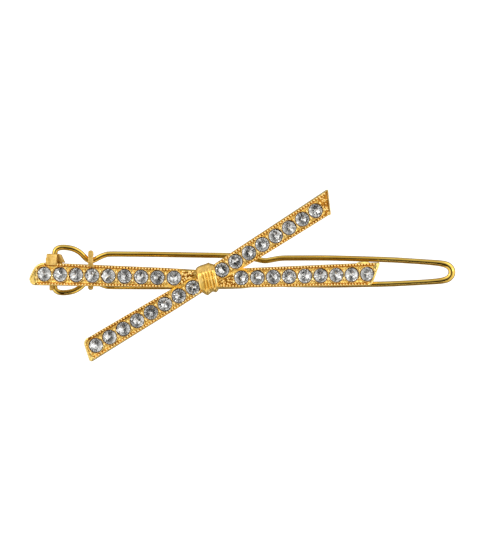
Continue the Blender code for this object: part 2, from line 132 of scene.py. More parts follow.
# ---------------------------------------------------------------- modelling helpers
def deselect_all():
    bpy.ops.object.select_all(action="DESELECT")


def active(name):
    piece = bpy.context.active_object
    piece.name = name
    return piece


def choose(piece):
    deselect_all()
    piece.select_set(True)
    bpy.context.view_layer.objects.active = piece


def edit(piece, verts=None):
    """Goes into edit mode with the wanted vertices selected, or everything."""
    choose(piece)
    bpy.ops.object.mode_set(mode="EDIT")
    bpy.ops.mesh.select_mode(type="VERT")
    bpy.ops.mesh.select_all(action="DESELECT" if verts else "SELECT")
    bpy.ops.object.mode_set(mode="OBJECT")
    for vert in piece.data.vertices:
        if verts and verts(vert.co):
            vert.select = True
    bpy.ops.object.mode_set(mode="EDIT")


def leave_edit():
    bpy.ops.object.mode_set(mode="OBJECT")


def modify(piece, kind, **settings):
    """Adds a modifier and applies it."""
    choose(piece)
    modifier = piece.modifiers.new(kind.lower(), kind)
    for name, value in settings.items():
        setattr(modifier, name, value)
    bpy.ops.object.modifier_apply(modifier=modifier.name)


def settle(piece):
    """Moves the object's place into its mesh."""
    choose(piece)
    bpy.ops.object.transform_apply(location=True, rotation=True, scale=True)


def join(pieces, name):
    deselect_all()
    for piece in pieces:
        piece.select_set(True)
    bpy.context.view_layer.objects.active = pieces[0]
    bpy.ops.object.join()
    return active(name)


def copy_of(piece):
    twin = piece.copy()
    twin.data = piece.data.copy()
    bpy.context.scene.collection.objects.link(twin)
    return twin


def row_of(piece, count, pitch):
    """Repeats a piece along +X."""
    modify(
        piece, "ARRAY", count=count, use_relative_offset=False, use_constant_offset=True,
        constant_offset_displace=(pitch, 0.0, 0.0),
    )


def place(piece, location=(0, 0, 0), turn=0.0):
    """Turns a settled piece about Z at the origin, moves it, and settles it again."""
    piece.matrix_world = Matrix.Translation(location) @ Matrix.Rotation(turn, 4, "Z")
    settle(piece)


def cut(piece, cutter):
    modify(piece, "BOOLEAN", operation="DIFFERENCE", object=cutter, solver="EXACT")
    bpy.data.objects.remove(cutter)


def recalculate(piece):
    edit(piece)
    bpy.ops.mesh.remove_doubles(threshold=0.001 * MM)
    bpy.ops.mesh.normals_make_consistent(inside=False)
    leave_edit()


def smooth(piece, degrees):
    choose(piece)
    bpy.ops.object.shade_smooth_by_angle(angle=math.radians(degrees))


def bend_over_arch(piece):
    """Bends a flat piece along X, over a cylinder that runs along Y."""
    guide = bpy.data.objects.new("arch_guide", None)
    bpy.context.scene.collection.objects.link(guide)
    guide.rotation_euler = (math.radians(90), 0, 0)
    guide.location = (0, 0, GIRDLE_HEIGHT)
    bpy.context.view_layer.update()
    reach = [v.co.x for v in piece.data.vertices]
    modify(
        piece, "SIMPLE_DEFORM", deform_method="BEND", deform_axis="Z", origin=guide,
        angle=-(max(reach) - min(reach)) / ARCH_RADIUS,
    )
    bpy.data.objects.remove(guide)
    place(piece, (0, 0, UNDERSIDE))


def on_arch(x, y, z):
    """Where a point that is flat at (x, y) and z above the underside goes on the arch."""
    turn = x / ARCH_RADIUS
    middle = UNDERSIDE + GIRDLE_HEIGHT - ARCH_RADIUS
    reach = ARCH_RADIUS + z - GIRDLE_HEIGHT
    return Vector((reach * math.sin(turn), y, middle + reach * math.cos(turn)))


# ---------------------------------------------------------------- materials
def srgb(code):
    """An sRGB hex colour as linear RGBA."""
    parts = [int(code[i:i + 2], 16) / 255 for i in (0, 2, 4)]
    return [c / 12.92 if c <= 0.04045 else ((c + 0.055) / 1.055) ** 2.4 for c in parts] + [1.0]


def add_node(tree, kind, inputs=None, **settings):
    """Adds a node with its settings; an input is a value, or another node's output socket to link from."""
    node = tree.nodes.new(kind)
    for name, value in settings.items():
        setattr(node, name, value)
    for name, value in (inputs or {}).items():
        if isinstance(value, bpy.types.NodeSocket):
            tree.links.new(value, node.inputs[name])
        else:
            node.inputs[name].default_value = value
    return node


def new_material(name):
    material = bpy.data.materials.new(name)
    material.use_nodes = True
    tree = material.node_tree
    return material, tree, tree.nodes["Principled BSDF"]


def ramp(tree, factor, stops):
    node = add_node(tree, "ShaderNodeValToRGB", {"Fac": factor})
    points = node.color_ramp.elements
    while len(points) < len(stops):
        points.new(0.5)
    for point, (position, colour) in zip(points, stops):
        point.position = position
        point.color = colour if isinstance(colour, list) else [colour] * 3 + [1.0]
    return node.outputs["Color"]


def gold_material(name, light, deep, rough_low, rough_high, patch_mm, grain_mm, grain_depth):
    """Gold plate: colour and polish drift in soft patches, and a fine grain breaks up the gloss."""
    material, tree, shader = new_material(name)
    coords = add_node(tree, "ShaderNodeTexCoord").outputs["Object"]
    patches = add_node(tree, "ShaderNodeTexNoise", {
        "Vector": coords, "Scale": 1000.0 / patch_mm, "Detail": 3.0, "Roughness": 0.55})
    grain = add_node(tree, "ShaderNodeTexNoise", {
        "Vector": coords, "Scale": 1000.0 / grain_mm, "Detail": 4.0, "Roughness": 0.6})
    colour = ramp(tree, patches.outputs["Fac"], [(0.35, srgb(deep)), (0.62, srgb(light))])
    polish = add_node(tree, "ShaderNodeMapRange", {
        "Value": grain.outputs["Fac"], "From Min": 0.3, "From Max": 0.7,
        "To Min": rough_low, "To Max": rough_high})
    bump = add_node(tree, "ShaderNodeBump", {
        "Height": grain.outputs["Fac"], "Strength": 1.0, "Distance": grain_depth * MM})
    tree.links.new(colour, shader.inputs["Base Color"])
    tree.links.new(polish.outputs["Result"], shader.inputs["Roughness"])
    tree.links.new(bump.outputs["Normal"], shader.inputs["Normal"])
    shader.inputs["Metallic"].default_value = 1.0
    return material


# Cast zinc alloy, gold plated and tumbled: bright on every high edge, with a slightly orange-peel skin.
CAST_GOLD = gold_material("gold_plated_zinc_casting", "F8DC88", "F0CA6C", 0.12, 0.28, 3.0, 0.22, 0.012)
# Every bead, lip and claw is rubbed bright by the tumbling.
BEAD_GOLD = gold_material("burnished_gold_beading", "FFE49C", "FAD47C", 0.06, 0.14, 1.5, 0.30, 0.003)
# The sunk ground between the settings keeps its as-cast grain, and is painted deeper and more orange as the
# shade in its recess.
GROUND_GOLD = gold_material("as_cast_grain_and_painted_shade", "F8D67C", "ECBC54", 0.20, 0.40, 0.9, 0.20, 0.050)
# The grooves between the beads, and the floor among the granules, are painted brown as the shade between
# the grains, and are rougher, so the beads stand out.
GROOVE_SHADE_GOLD = gold_material("milgrain_groove_painted_shade", "C88A30", "965812", 0.30, 0.50, 0.9, 0.20, 0.030)
# Stamped findings under the clip: plated but not polished, so they are a flat satin yellow.
SATIN_GOLD = gold_material("satin_plated_brass_finding", "E8C474", "CFA650", 0.46, 0.64, 1.0, 0.36, 0.080)
# The wrap was rubbed to a soft polish by hand, so its folds glint although its skin stays a little matte.
KNOT_GOLD = gold_material("hand_rubbed_gold_wrap", "F8D684", "EEC25C", 0.04, 0.12, 2.2, 0.20, 0.004)
# Only the middle of the wrap was rubbed; its shoulder kept the dull skin it left the plating tank with.
SHOULDER_GOLD = gold_material("unrubbed_wrap_shoulder", "D2B066", "BE9648", 0.36, 0.52, 1.0, 0.16, 0.020)
# The wall and ledge round each stone carry painted shade: dark brown for the shadow in the groove between
# lip and glass, so a dark ring frames the glass.
SEAT_SHADE_GOLD = gold_material("stone_seat_painted_shade", "9A5A18", "663A0E", 0.30, 0.50, 0.9, 0.20, 0.020)
# Drawn spring wire, gold plated: almost a mirror, with the faintest draw lines.
WIRE_GOLD = gold_material("gold_plated_spring_wire", "EECA64", "DFB24C", 0.05, 0.11, 6.0, 0.30, 0.002)


def crystal_material():
    """Cut lead glass: clear, colourless and strongly refracting, with tiny polishing marks."""
    material, tree, shader = new_material("cut_lead_glass")
    coords = add_node(tree, "ShaderNodeTexCoord").outputs["Object"]
    marks = add_node(tree, "ShaderNodeTexNoise", {"Vector": coords, "Scale": 1000.0 / 0.4, "Detail": 2.0})
    polish = add_node(tree, "ShaderNodeMapRange", {
        "Value": marks.outputs["Fac"], "To Min": 0.0, "To Max": 0.04})
    tree.links.new(polish.outputs["Result"], shader.inputs["Roughness"])
    shader.inputs["Base Color"].default_value = srgb("FFFFFF")
    shader.inputs["IOR"].default_value = 1.58
    shader.inputs["Transmission Weight"].default_value = 1.0
    return material


def foil_material():
    """Vacuum-silvered backs of the stones: a grey mirror that varies a little from facet to facet."""
    material, tree, shader = new_material("silver_foil_backing")
    coords = add_node(tree, "ShaderNodeTexCoord").outputs["Object"]
    tone = add_node(tree, "ShaderNodeTexNoise", {"Vector": coords, "Scale": 1000.0 / 0.8, "Detail": 1.0})
    colour = ramp(tree, tone.outputs["Fac"], [(0.35, srgb("C4C4C2")), (0.65, srgb("FCFCFA"))])
    tree.links.new(colour, shader.inputs["Base Color"])
    shader.inputs["Metallic"].default_value = 1.0
    shader.inputs["Roughness"].default_value = 0.05
    return material


CRYSTAL = crystal_material()
FOIL = foil_material()


# ---------------------------------------------------------------- ribbon arms
def half_width(along):
    if along < SHOULDER_ALONG:
        return WAIST_WIDTH + (SHOULDER_WIDTH - WAIST_WIDTH) * along / SHOULDER_ALONG
    share = (along - SHOULDER_ALONG) / (END_ALONG - SHOULDER_ALONG)
    return SHOULDER_WIDTH + (END_WIDTH - SHOULDER_WIDTH) * share


def fillet(before, corner, after, radius, steps=6):
    a, c, b = Vector(before), Vector(corner), Vector(after)
    to_a, to_b = (a - c).normalized(), (b - c).normalized()
    half = to_a.angle(to_b) / 2.0
    centre = c + (to_a + to_b).normalized() * (radius / math.sin(half))
    start, end = c + to_a * (radius / math.tan(half)), c + to_b * (radius / math.tan(half))
    chords = [start.lerp(end, i / steps) - centre for i in range(steps + 1)]
    return [centre + chord.normalized() * radius for chord in chords]


def last_stone(arm):
    return arm["first"] + (arm["count"] - 1) * arm["pitch"]


def tip_outline(arm):
    """The slanted end of an arm, from its lower edge round to its upper edge."""
    (low_x, low_y, low_r), (up_x, up_y, up_r) = arm["tip"]
    base = last_stone(arm)
    low_start, up_start = (base, -half_width(base)), (base, half_width(base))
    low, up = (low_x, low_y), (up_x, up_y)
    return fillet(low_start, low, up, low_r) + fillet(low, up, up_start, up_r)


def flank_start(arm, across):
    """How far along a long arm its end is, just inside the flank of the cross ribbon it is soldered to."""
    cross = ARMS[arm["meets"]]
    lean = cross["angle"] - math.atan((SHOULDER_WIDTH - WAIST_WIDTH) / SHOULDER_ALONG)
    normal = Vector((math.sin(lean), -math.cos(lean)))
    foot = Vector((math.sin(cross["angle"]), -math.cos(cross["angle"]))) * (WAIST_WIDTH - SOLDER_OVERLAP)
    ahead = Vector((math.cos(arm["angle"]), math.sin(arm["angle"])))
    sideways = Vector((-ahead.y, ahead.x))
    return (normal.dot(foot) - across * normal.dot(sideways)) / normal.dot(ahead)


def beaded(arm, spot):
    """Whether the milgrain runs past this spot on its rail."""
    begin = arm["milgrain"][0 if spot.y < 0 else 1]
    outline = tip_outline(arm)
    return begin - 0.3 * MM < spot.x < (outline[0].x if spot.y < 0 else outline[-1].x)


def plate_the_body(body, arm):
    """Bright plate on the rails and sides, grainy plate with painted recess shade on the sunk floor, and
    darker painted shade in the grooves beside the beads and among the granules.
    """
    for gold in (CAST_GOLD, GROUND_GOLD, GROOVE_SHADE_GOLD):
        body.data.materials.append(gold)
    for face in body.data.polygons:
        spot = face.center
        width = half_width(min(spot.x, END_ALONG))
        sunk = 1.05 * MM < spot.z < 1.26 * MM and face.normal.z > 0.3
        # The sunk floor takes the grainy plate with its painted recess shade.
        if sunk and abs(spot.y) < 0.93 * width:
            strewn = any(near * MM < spot.x < far * MM for (near, far), _, _ in arm["granules"])
            # Beside the milgrain and among the granules the faces take the darker painted shade.
            rough_and_shaded = beaded(arm, spot) if abs(spot.y) > FLOOR_SHARE * width else strewn
            face.material_index = 2 if rough_and_shaded else 1


def arm_body(arm, name):
    """The bar itself: rails along both edges, a grainy sunk floor, a solid tip and round stone seats."""
    outline = tip_outline(arm)
    reach = max(p.x for p in outline)
    section = [(-share, height) for share, height in RAIL_PROFILE] + RAIL_PROFILE[-2::-1]
    steps = round(reach / GRAIN_STEP)
    bpy.ops.mesh.primitive_grid_add(x_subdivisions=steps, y_subdivisions=len(section) - 1, size=2.0)
    body = active(name)
    solid_from = last_stone(arm) + SEAT_RADIUS + 0.1 * MM
    across_points = [p.y for p in outline]
    along_points = [p.x for p in outline]
    for vert in body.data.vertices:
        share, height = section[round((vert.co.y + 1.0) / 2.0 * (len(section) - 1))]
        height *= MM
        ahead = (vert.co.x + 1.0) / 2.0
        across = share * half_width(ahead * reach)
        end = float(np.interp(across, across_points, along_points))
        start = flank_start(arm, across) if arm["meets"] else 0.0
        along = start + (end - start) * ahead
        across = share * half_width(min(along, END_ALONG))
        if abs(share) < FLOOR_SHARE:
            height += random.uniform(-1, 1) * GRAIN_HEIGHT
        rise = min(1.0, max(0.0, (along - solid_from) / TIP_RAMP)) * arm["solid_tip"]
        edge = min(1.0, (end - along) / END_ROUNDING)
        if abs(share) < LIP_SHARE:
            height += (TIP_HEIGHT - height) * rise
        height -= (1.0 - edge) ** 2 * END_DROP
        vert.co = (along, across, height)
    edit(body)
    bpy.ops.mesh.extrude_region_move(TRANSFORM_OT_translate={"value": (0, 0, -0.2 * MM)})
    bpy.ops.transform.resize(value=(1, 1, 0), center_override=(0, 0, 0))
    leave_edit()
    recalculate(body)
    plate_the_body(body, arm)
    bpy.ops.mesh.primitive_cylinder_add(
        vertices=SEAT_SIDES, radius=SEAT_RADIUS, depth=1.4 * MM, location=(arm["first"], 0, 1.2 * MM))
    seats = active("seats")
    settle(seats)
    row_of(seats, arm["count"], arm["pitch"])
    cut(body, seats)
    return body


# Radius and height, in mm, from the wall beside a stone over the ledge and the lip to the ground.
COLLAR_PROFILE = [
    (1.24, 1.05), (1.26, 1.30), (1.36, 1.32), (1.38, 1.46), (1.42, 1.49), (1.46, 1.45), (1.48, 1.05),
]
COLLAR_LIP_INSIDE = 1.375 * MM


def collars(arm):
    """The raised lip round each stone: one turned profile, repeated along the arm."""
    bpy.ops.mesh.primitive_circle_add(vertices=len(COLLAR_PROFILE), radius=1.0)
    collar = active("collars")
    for vert, (radius, height) in zip(collar.data.vertices, COLLAR_PROFILE):
        vert.co = (radius * MM, 0, height * MM)
    edit(collar)
    bpy.ops.mesh.spin(steps=SEAT_SIDES, angle=math.tau, center=(0, 0, 0), axis=(0, 0, 1))
    leave_edit()
    recalculate(collar)
    collar.data.materials.append(BEAD_GOLD)
    # The second material is the painted shade on the wall and ledge inside the lip.
    collar.data.materials.append(SEAT_SHADE_GOLD)
    for face in collar.data.polygons:
        if math.hypot(face.center.x, face.center.y) < COLLAR_LIP_INSIDE:
            face.material_index = 1
    place(collar, (arm["first"], 0, 0))
    row_of(collar, arm["count"], arm["pitch"])
    return collar


def bead(radius, name, stretch=(1, 1, 1)):
    bpy.ops.mesh.primitive_uv_sphere_add(segments=8, ring_count=6, radius=radius)
    grain = active(name)
    edit(grain)
    bpy.ops.transform.resize(value=stretch, center_override=(0, 0, 0))
    leave_edit()
    grain.data.materials.append(BEAD_GOLD)
    return grain


def claws(arm):
    """Grains raised between neighbouring stones, near each rail, and pushed over the stones' edges."""
    rows = []
    outline = tip_outline(arm)
    beyond = last_stone(arm) + arm["pitch"] / 2.0
    outermost = CLAW_ACROSS + CLAW_RADIUS * CLAW_STRETCH[1]
    for side in (-1, 1):
        end = float(np.interp(side * outermost, [p.y for p in outline], [p.x for p in outline]))
        room_at_tip = end > beyond + 0.4 * MM
        claw = bead(CLAW_RADIUS, "claws", stretch=CLAW_STRETCH)
        place(claw, (arm["first"] - arm["pitch"] / 2.0, side * CLAW_ACROSS, CLAW_HEIGHT))
        row_of(claw, arm["count"] + (1 if room_at_tip else 0), arm["pitch"])
        rows.append(claw)
    return rows


def milgrain(arm):
    """The row of fine beads that a milgrain wheel leaves along each rail."""
    rows = []
    for side, begin in zip((-1, 1), arm["milgrain"]):
        outline = tip_outline(arm)
        end = outline[0].x if side < 0 else outline[-1].x
        count = int((end - begin) / BEAD_PITCH)
        lean = math.atan2(half_width(end) - half_width(begin), end - begin)
        grain = bead(BEAD_RADIUS, "milgrain", stretch=(0.84, 1.0, 1.15))
        row_of(grain, count, BEAD_PITCH)
        place(grain, (begin, side * (half_width(begin) - BEAD_INSET), MILGRAIN_HEIGHT), side * lean)
        rows.append(grain)
    return rows


def granules(arm):
    """Small grains strewn over the patches that carry no stone."""
    outline = tip_outline(arm)
    strewn = []
    for (near, far), (low, high), count in arm["granules"]:
        for _ in range(count):
            along, across = random.uniform(near, far) * MM, random.uniform(low, high) * MM
            end = float(np.interp(across, [p.y for p in outline], [p.x for p in outline]))
            start = flank_start(arm, across) if arm["meets"] else 0.0
            inside = abs(across) < half_width(min(along, END_ALONG)) - 0.22 * MM
            if inside and start + 0.15 * MM < along < end - 0.22 * MM:
                radius = random.uniform(0.15, 0.24) * MM
                grain = bead(radius, "granule", stretch=(1.0, 1.0, 0.8))
                place(grain, (along, across, random.uniform(1.12, 1.22) * MM))
                strewn.append(grain)
    return strewn


def tip_rim(arm):
    """A smooth rounded lip round the slanted end, where the milgrain stops."""
    outline = tip_outline(arm)
    radius = arm["rim"]
    centre = Vector((last_stone(arm), 0.0))
    curve = bpy.data.curves.new("tip_rim", "CURVE")
    curve.dimensions = "3D"
    curve.bevel_depth = radius
    curve.bevel_resolution = 3
    curve.use_fill_caps = True
    spline = curve.splines.new("POLY")
    spline.points.add(len(outline) - 1)
    for point, flat in zip(spline.points, outline):
        inward = (centre - flat).normalized() * radius
        point.co = (flat.x + inward.x, flat.y + inward.y, RIM_TOP - radius, 1.0)
    rim = bpy.data.objects.new("tip_rim", curve)
    bpy.context.scene.collection.objects.link(rim)
    choose(rim)
    bpy.ops.object.convert(target="MESH")
    rim = active("tip_rim")
    recalculate(rim)
    rim.data.materials.append(CAST_GOLD)
    return rim


def edge_pad():
    """A smooth lump of solder along the right tail's upper edge."""
    along = 28.55 * MM
    bpy.ops.mesh.primitive_uv_sphere_add(segments=20, ring_count=12, radius=1.0)
    pad = active("edge_pad")
    edit(pad)
    bpy.ops.transform.resize(value=(1.25 * MM, 0.30 * MM, 0.34 * MM), center_override=(0, 0, 0))
    leave_edit()
    pad.data.materials.append(CAST_GOLD)
    place(pad, (along, half_width(along) - 0.02 * MM, 1.22 * MM))
    return pad


def arm_pieces(name):
    arm = ARMS[name]
    made = [arm_body(arm, name + "_body"), collars(arm), tip_rim(arm)]
    made += claws(arm) + milgrain(arm) + granules(arm)
    if name == "long_right":
        made.append(edge_pad())
    for piece in made:
        place(piece, turn=arm["angle"])
    return made


def ribbon(name, arm_names, node):
    made = []
    for arm_name in arm_names:
        made += arm_pieces(arm_name)
    piece = join(made, name)
    bend_over_arch(piece)
    smooth(piece, 40)
    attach(piece, "ornament")
    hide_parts(node)


ribbon("jewelled_tail_left", ["long_left"], "ribbon_tail_left")
ribbon("jewelled_tail_right", ["long_right"], "ribbon_tail_right")
ribbon("jewelled_cross_ribbon", ["cross_left", "cross_right"], "cross_ribbon")


# ---------------------------------------------------------------- rhinestones
# The corners of a stone, ring by ring from its table down: number, radius and height in mm, and part turn.
STONE_RINGS = [
    (8, 0.66, 0.34, 0.5), (8, 0.98, 0.22, 0.0), (16, 1.25, 0.03, 0.0), (16, 1.25, -0.01, 0.0),
    (8, 0.72, -0.19, 0.5), (8, 0.10, -0.41, 0.0),
]
BACK_WOBBLE = 0.06 * MM
SETTING_SWAY = math.radians(2.5)


def cut_stone():
    """A brilliant-cut chaton: table, star and kite facets over a thin girdle, and a pointed foiled back."""
    circles = []
    for count, radius, height, step in STONE_RINGS:
        bpy.ops.mesh.primitive_circle_add(
            vertices=count, radius=radius * MM, location=(0, 0, height * MM),
            rotation=(0, 0, step * math.tau / count))
        circle = active("ring")
        settle(circle)
        circles.append(circle)
    stone = join(circles, "cut_stone")
    edit(stone)
    bpy.ops.mesh.convex_hull()
    bpy.ops.mesh.dissolve_limited(angle_limit=math.radians(1))
    leave_edit()
    recalculate(stone)
    stone.data.materials.append(CRYSTAL)
    stone.data.materials.append(FOIL)
    for face in stone.data.polygons:
        face.material_index = 1 if face.normal.z < 0.15 else 0
    return stone


def set_stones():
    model = cut_stone()
    for arm_name, arm in ARMS.items():
        for number in range(arm["count"]):
            along = arm["first"] + number * arm["pitch"]
            x, y = along * math.cos(arm["angle"]), along * math.sin(arm["angle"])
            stone = copy_of(model)
            for vert in stone.data.vertices:
                if vert.co.z < -0.1 * MM:
                    vert.co.z += random.uniform(-BACK_WOBBLE, BACK_WOBBLE)
            stone.name = f"chaton_{arm_name}_{number + 1}"
            sway = Matrix.Rotation(random.uniform(-SETTING_SWAY, SETTING_SWAY), 4, "X")
            sway = sway @ Matrix.Rotation(random.uniform(-SETTING_SWAY, SETTING_SWAY), 4, "Y")
            spin = Matrix.Rotation(random.uniform(0, math.tau), 4, "Z")
            stone.matrix_world = Matrix.Translation(on_arch(x, y, GIRDLE_HEIGHT)) @ Matrix.Rotation(
                x / ARCH_RADIUS, 4, "Y") @ sway @ spin
            settle(stone)
            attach(stone, "ornament")
            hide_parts(f"rhinestone_{arm_name}_{number + 1}")
    bpy.data.objects.remove(model)


set_stones()


# ---------------------------------------------------------------- knot
# Along the bars from the wrap's left edge to its right one, in mm: how far its folds reach in front, and
# how far they reach at its top and at its bottom.
KNOT_FRONT = [
    (-1.72, 2.20), (-1.62, 2.62), (-1.40, 2.80), (-1.18, 2.86), (-1.02, 2.96), (-0.90, 3.02), (-0.80, 2.78),
    (-0.74, 2.46), (-0.66, 2.56), (-0.48, 2.90), (-0.36, 3.08), (-0.26, 2.86), (-0.19, 2.44), (-0.11, 2.56),
    (0.06, 2.94), (0.18, 3.08), (0.28, 2.86), (0.35, 2.46), (0.43, 2.58), (0.60, 2.98), (0.74, 3.04),
    (0.86, 2.66), (0.94, 2.10), (1.02, 2.36), (1.18, 2.84), (1.36, 2.90), (1.56, 2.70), (1.68, 2.40),
    (1.74, 2.05),
]
KNOT_TOP = [
    (-1.72, 2.10), (-1.50, 2.47), (-0.66, 2.67), (0.41, 2.78), (0.84, 2.90), (1.05, 2.62), (1.22, 2.60),
    (1.60, 2.42), (1.74, 2.10),
]
KNOT_BOTTOM = [
    (-1.72, 1.80), (-1.57, 2.02), (-0.92, 2.68), (-0.58, 2.95), (0.02, 2.62), (0.50, 2.42), (0.80, 2.62),
    (1.04, 2.72), (1.45, 2.45), (1.74, 2.00),
]
KNOT_INSIDE = [(1.70, 1.30), (-1.68, 1.30)]
# How far round the wrap, as a share of its radius, the folds start to flow into the top and bottom edges.
FLOW_TOP, FLOW_BOTTOM, FLOW_LENGTH = 0.30, 0.55, 0.35
KNOT_FLATTENING, KNOT_MIDDLE_HEIGHT = 0.50, 1.42 * MM
SHOULDER_FROM_Y = 1.30 * MM


def fluted_knot():
    """The wrap: a fluted profile turned once round the bars, whose folds flow into its uneven edges."""
    profile = KNOT_FRONT + KNOT_INSIDE
    bpy.ops.mesh.primitive_circle_add(vertices=len(profile), radius=1.0)
    knot = active("fluted_knot")
    for vert, (along, radius) in zip(knot.data.vertices, profile):
        vert.co = (along * MM, 0, radius * MM)
    edit(knot)
    bpy.ops.mesh.spin(steps=72, angle=math.tau, center=(0, 0, 0), axis=(1, 0, 0))
    leave_edit()
    recalculate(knot)
    for vert in knot.data.vertices:
        along, radius = vert.co.x / MM, math.hypot(vert.co.y, vert.co.z)
        if radius < 1.35 * MM:
            continue
        up = vert.co.y / radius
        side = KNOT_TOP if up > 0 else KNOT_BOTTOM
        edge = float(np.interp(along, [p[0] for p in side], [p[1] for p in side])) * MM
        begin = FLOW_TOP if up > 0 else FLOW_BOTTOM
        share = min(1.0, max(0.0, (abs(up) - begin) / FLOW_LENGTH))
        wanted = radius + (edge - radius) * share * share * (3.0 - 2.0 * share)
        vert.co.y *= wanted / radius
        vert.co.z *= wanted / radius
    return knot


def build_knot():
    knot = fluted_knot()
    # The turned band is 3 mm in radius; pressing halves its depth, and its back is flat.
    edit(knot)
    bpy.ops.transform.resize(value=(1, 1, KNOT_FLATTENING), center_override=(0, 0, 0))
    bpy.ops.transform.translate(value=(0, 0, KNOT_MIDDLE_HEIGHT))
    leave_edit()
    modify(knot, "SUBSURF", levels=1, render_levels=1)
    for vert in knot.data.vertices:
        vert.co.z = max(vert.co.z, 0.0)
    knot.data.materials.append(KNOT_GOLD)
    knot.data.materials.append(SHOULDER_GOLD)
    for face in knot.data.polygons:
        face.material_index = 1 if face.center.y > SHOULDER_FROM_Y else 0
    place(knot, turn=KNOT_ANGLE)
    smooth(knot, 60)
    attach(knot, "ornament")
    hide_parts("knot_wrap")


build_knot()


# ---------------------------------------------------------------- sprung wire pin
# Half of the pin in plan, in mm: distance from the pivot, distance from the pin's axis.
LEG_ROUTE = [
    (0.0, 1.15), (0.0, 2.0), (0.0, 3.0), (0.13, 3.55), (0.55, 3.92), (1.2, 4.07), (1.9, 4.07),
    (2.8, 3.95), (3.7, 3.66), (4.6, 3.12), (5.25, 2.48), (5.75, 1.98), (6.15, 1.75), (6.5, 1.68),
    (6.9, 1.76), (7.3, 1.95), (7.7, 2.16), (8.3, 2.48), (9.1, 2.78), (10.0, 2.92), (13.5, 2.93),
    (17.2, 2.92), (22.0, 2.87), (26.5, 2.82), (31.6, 2.75), (34.6, 2.58), (36.4, 2.14), (37.9, 1.88),
    (39.3, 2.10), (40.9, 2.35), (44.2, 2.41), (49.6, 2.43), (55.0, 2.32), (60.5, 2.17), (65.7, 1.89),
]
BEND_ROUTE = [
    (65.7, 1.89), (68.0, 1.73), (69.6, 1.58), (70.7, 1.33), (71.3, 0.97), (71.65, 0.48), (71.73, 0.0),
]


def pin_place(from_pivot, from_axis, side):
    share = from_pivot * MM / PIN_LENGTH
    height = PIVOT_Z - PIN_TIP_DROP * share + 4.0 * PIN_ARCH * share * (1.0 - share)
    return Vector((PIVOT_X + from_pivot * MM, PIN_AXIS_Y + side * from_axis * MM, height))


def smooth_route(points, spacing):
    """Points on a Catmull-Rom curve through a route, about one spacing apart."""
    ends = [points[0] * 2 - points[1]] + points + [points[-1] * 2 - points[-2]]
    route = [points[0]]
    for a, b, c, d in zip(ends, ends[1:], ends[2:], ends[3:]):
        steps = max(1, round((c - b).length / spacing))
        for i in range(1, steps + 1):
            t = i / steps
            route.append(0.5 * (
                2 * b + (c - a) * t + (2 * a - 5 * b + 4 * c - d) * t**2
                + (3 * b - a - 3 * c + d) * t**3
            ))
    return route


def wire(name, route, body, node, swell=0.0):
    """Round wire along a route; where it swells towards the tip it is pressed flat to the same depth."""
    curve = bpy.data.curves.new(name, "CURVE")
    curve.dimensions = "3D"
    curve.bevel_depth = WIRE_RADIUS
    curve.bevel_resolution = 5
    curve.use_fill_caps = True
    spline = curve.splines.new("POLY")
    spline.points.add(len(route) - 1)
    near, far = min(spot.x for spot in route), max(spot.x for spot in route)
    for point, spot in zip(spline.points, route):
        widened = swell * ((spot.x - near) / (far - near)) ** 2
        point.co = (spot.x - widened * WIRE_RADIUS, spot.y, spot.z, 1.0)
        point.radius = 1.0 + widened
    piece = bpy.data.objects.new(name, curve)
    bpy.context.scene.collection.objects.link(piece)
    choose(piece)
    bpy.ops.object.convert(target="MESH")
    piece = active(name)
    if swell:
        for vert in piece.data.vertices:
            share = min(1.0, max(0.0, (vert.co.x - near) / (far - near)))
            middle = pin_place((vert.co.x - PIVOT_X) / MM, 0.0, 1).z
            vert.co.z = middle + (vert.co.z - middle) / (1.0 + swell * share**2)
    recalculate(piece)
    piece.data.materials.append(WIRE_GOLD)
    smooth(piece, 50)
    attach(piece, body)
    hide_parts(node)


for side_name, side in (("upper", 1), ("lower", -1)):
    leg = [pin_place(*point, side) for point in LEG_ROUTE]
    wire(f"spring_wire_leg_{side_name}", smooth_route(leg, 0.35 * MM), f"leg_{side_name}",
         f"pin_leg_{side_name}")
half_bend = [pin_place(*point, 1) for point in BEND_ROUTE]
other_half = [pin_place(*point, -1) for point in BEND_ROUTE[-2::-1]]
wire("spring_wire_tip_bend", smooth_route(half_bend + other_half, 0.25 * MM), "pin", "pin_tip_bend",
     swell=0.28)


# ---------------------------------------------------------------- findings under the ribbon
def rounded_block(low, high, radius, name):
    """A block between two corners in mm, its edges rolled over as on stamped sheet."""
    centre = [(a + b) / 2.0 * MM for a, b in zip(low, high)]
    bpy.ops.mesh.primitive_cube_add(size=1.0, location=centre)
    block = active(name)
    block.dimensions = [(b - a) * MM for a, b in zip(low, high)]
    settle(block)
    if radius:
        modify(block, "BEVEL", width=radius * MM, segments=3)
    return block


def folded_sheet(path, ends, thickness, name):
    """Sheet metal folded along a path of (x, z) points in mm, and as wide as its two ends along Y."""
    bpy.ops.mesh.primitive_grid_add(x_subdivisions=len(path) - 1, y_subdivisions=6, size=2.0)
    sheet = active(name)
    for vert in sheet.data.vertices:
        x, z = path[round((vert.co.x + 1.0) / 2.0 * (len(path) - 1))]
        share = (vert.co.y + 1.0) / 2.0
        vert.co = (x * MM, (ends[0] + (ends[1] - ends[0]) * share) * MM, z * MM)
    modify(sheet, "SOLIDIFY", thickness=thickness * MM, offset=0.0)
    modify(sheet, "BEVEL", width=0.05 * MM, segments=2, angle_limit=math.radians(50))
    return sheet


def arc(centre_x, centre_z, radius, start, end, steps):
    """Points on an arc, in mm, between two angles in degrees."""
    turns = [math.radians(start + (end - start) * i / steps) for i in range(steps + 1)]
    return [(centre_x + radius * math.cos(t), centre_z + radius * math.sin(t)) for t in turns]


def finish_finding(finding, node):
    recalculate(finding)
    finding.data.materials.append(SATIN_GOLD)
    smooth(finding, 40)
    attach(finding, "ornament")
    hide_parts(node)


